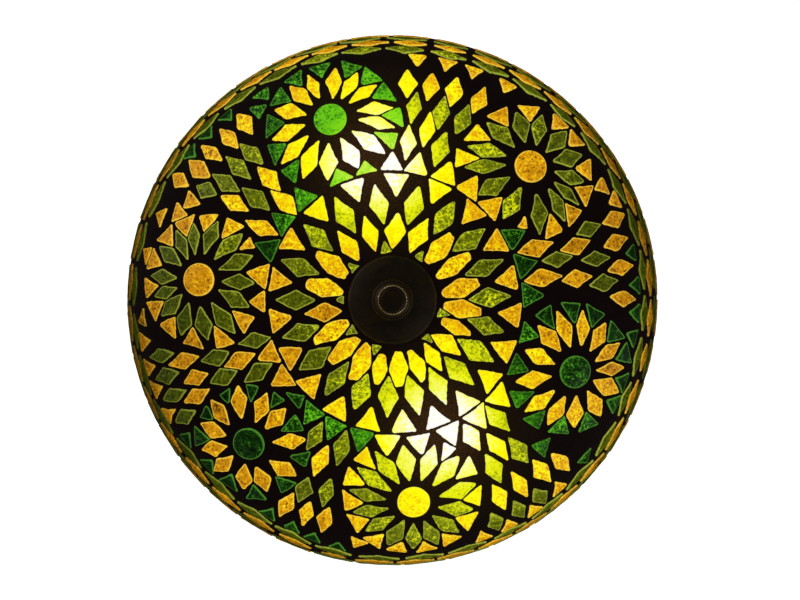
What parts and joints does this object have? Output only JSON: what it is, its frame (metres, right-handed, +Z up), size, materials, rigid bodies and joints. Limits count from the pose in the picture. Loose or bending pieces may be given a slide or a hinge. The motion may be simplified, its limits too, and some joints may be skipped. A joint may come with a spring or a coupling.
{
  "type": "mosaic glass table lamp",
  "caption": "Table lamp with a low glass dome covered in amber, olive and green cut-glass mosaic, lit from inside by bulbs, on a turned metal stand.",
  "frame": {"origin": "centre of the felt pad, on the surface that the lamp stands on", "axes": "+Z up along the stem; +Y towards the cord bushing at the back, -Y towards the front; +X to the right in the picture"},
  "size_m": [0.3002, 0.3002, 0.3933],
  "materials": {
    "felt": "green wool felt",
    "ballast_iron": "rough cast iron",
    "aged_brass": "turned brass with a dark antique patina in the grooves",
    "dark_bronze": "dark oxidised bronze",
    "brass": "bright turned brass",
    "socket_brass": "spun brass lampholder shell",
    "steel_pipe": "zinc plated lamp pipe",
    "black_rubber": "soft black rubber",
    "lead_sleeve": "brown insulated lead",
    "porcelain": "glazed porcelain",
    "bulb_cap_metal": "threaded lamp cap",
    "clear_glass": "clear blown glass dome",
    "grout": "dark brown tile cement",
    "amber_glass": "streaky amber art glass",
    "olive_glass": "streaky olive green art glass",
    "green_glass": "deep green art glass",
    "bulb_glass": "warm lit bulb glass",
    "filament": "filament mount"
  },
  "bodies": {
    "stand": {"felt_pad": "felt", "foot": "aged_brass", "ballast_weight": "ballast_iron", "foot_washer": "brass", "foot_nut": "brass", "threaded_pipe": "steel_pipe", "cord_bushing": "black_rubber", "column_collar": "aged_brass", "column_vase": "aged_brass", "column_bead": "aged_brass", "column_stem": "aged_brass", "column_cup": "aged_brass", "cluster_body": "aged_brass", "cluster_nut": "brass", "upper_pipe": "steel_pipe", "upper_nut": "brass", "socket_leads": "lead_sleeve", "shade_seat": "brass", "seat_gasket": "black_rubber", "socket_nipple_back": "brass", "socket_shell_back": "socket_brass", "socket_liner_back": "porcelain", "socket_contact_back": "brass", "switch_spout_back": "socket_brass", "socket_nipple_front": "brass", "socket_shell_front": "socket_brass", "socket_liner_front": "porcelain", "socket_contact_front": "brass", "switch_spout_front": "socket_brass"},
    "shade": {"glass_dome": "clear_glass", "grout_bed": "grout", "rim_band": "dark_bronze", "heat_cap": "dark_bronze", "cap_gasket": "black_rubber", "amber_band_tiles": "amber_glass", "amber_centre_tiles": "amber_glass", "amber_gems": "amber_glass", "amber_petals": "amber_glass", "amber_rim_tiles": "amber_glass", "amber_triangles": "amber_glass", "green_gems": "green_glass", "green_triangles": "green_glass", "olive_band_tiles": "olive_glass", "olive_centre_tiles": "olive_glass", "olive_petals": "olive_glass", "olive_rim_tiles": "olive_glass"},
    "finial_thread": {"finial_insert": "brass"},
    "finial": {"finial_knob": "dark_bronze"},
    "bulb_back_cap": {"bulb_cap_back": "bulb_cap_metal"},
    "bulb_back": {"bulb_glass_back": "bulb_glass", "bulb_filament_back": "filament"},
    "chain_back_pull": {"pull_rod_back": "brass"},
    "chain_back": {"pull_chain_back": "brass", "chain_drop_back": "brass"},
    "bulb_front_cap": {"bulb_cap_front": "bulb_cap_metal"},
    "bulb_front": {"bulb_glass_front": "bulb_glass", "bulb_filament_front": "filament"},
    "chain_front_pull": {"pull_rod_front": "brass"},
    "chain_front": {"pull_chain_front": "brass", "chain_drop_front": "brass"}
  },
  "joints": [
    {"name": "shade_turn", "type": "hinge", "parent": "stand", "child": "shade", "pos_m": [0, 0, 0.3665], "axis": [0, 0, 1], "continuous": true},
    {"name": "finial_rise", "type": "slide", "parent": "stand", "child": "finial_thread", "axis": [0, 0, 1], "range_m": [0, 0.006]},
    {"name": "finial_turn", "type": "hinge", "parent": "finial_thread", "child": "finial", "pos_m": [0, 0, 0.3783], "axis": [0, 0, 1], "range_deg": [0, 2160]},
    {"name": "bulb_back_out", "type": "slide", "parent": "stand", "child": "bulb_back_cap", "axis": [-0.0975, 0.794, 0.6], "range_m": [0, 0.0085]},
    {"name": "bulb_back_turn", "type": "hinge", "parent": "bulb_back_cap", "child": "bulb_back", "pos_m": [-0.00171, 0.0139, 0.284], "axis": [-0.0975, 0.794, 0.6], "range_deg": [0, 1080]},
    {"name": "chain_back_pull", "type": "slide", "parent": "stand", "child": "chain_back_pull", "axis": [0, 0, -1], "range_m": [0, 0.006], "stiffness_N_per_m": 400},
    {"name": "chain_back_swing", "type": "hinge", "parent": "chain_back_pull", "child": "chain_back", "pos_m": [-0.00487, 0.0397, 0.2659], "axis": [-0.9925, -0.1219, 0], "range_deg": [-25, 12]},
    {"name": "bulb_front_out", "type": "slide", "parent": "stand", "child": "bulb_front_cap", "axis": [0.2736, -0.7518, 0.6], "range_m": [0, 0.0085]},
    {"name": "bulb_front_turn", "type": "hinge", "parent": "bulb_front_cap", "child": "bulb_front", "pos_m": [0.00479, -0.01316, 0.284], "axis": [0.2736, -0.7518, 0.6], "range_deg": [0, 1080]},
    {"name": "chain_front_pull", "type": "slide", "parent": "stand", "child": "chain_front_pull", "axis": [0, 0, -1], "range_m": [0, 0.006], "stiffness_N_per_m": 400},
    {"name": "chain_front_swing", "type": "hinge", "parent": "chain_front_pull", "child": "chain_front", "pos_m": [0.01368, -0.03759, 0.2659], "axis": [0.9397, 0.342, 0], "range_deg": [-25, 12]}
  ],
  "couplings": [
    {"joint": "finial_rise", "follows": "finial_turn", "m_per_rad": 0.00015915},
    {"joint": "bulb_back_out", "follows": "bulb_back_turn", "m_per_rad": 0.00044882},
    {"joint": "bulb_front_out", "follows": "bulb_front_turn", "m_per_rad": 0.00044882}
  ]
}
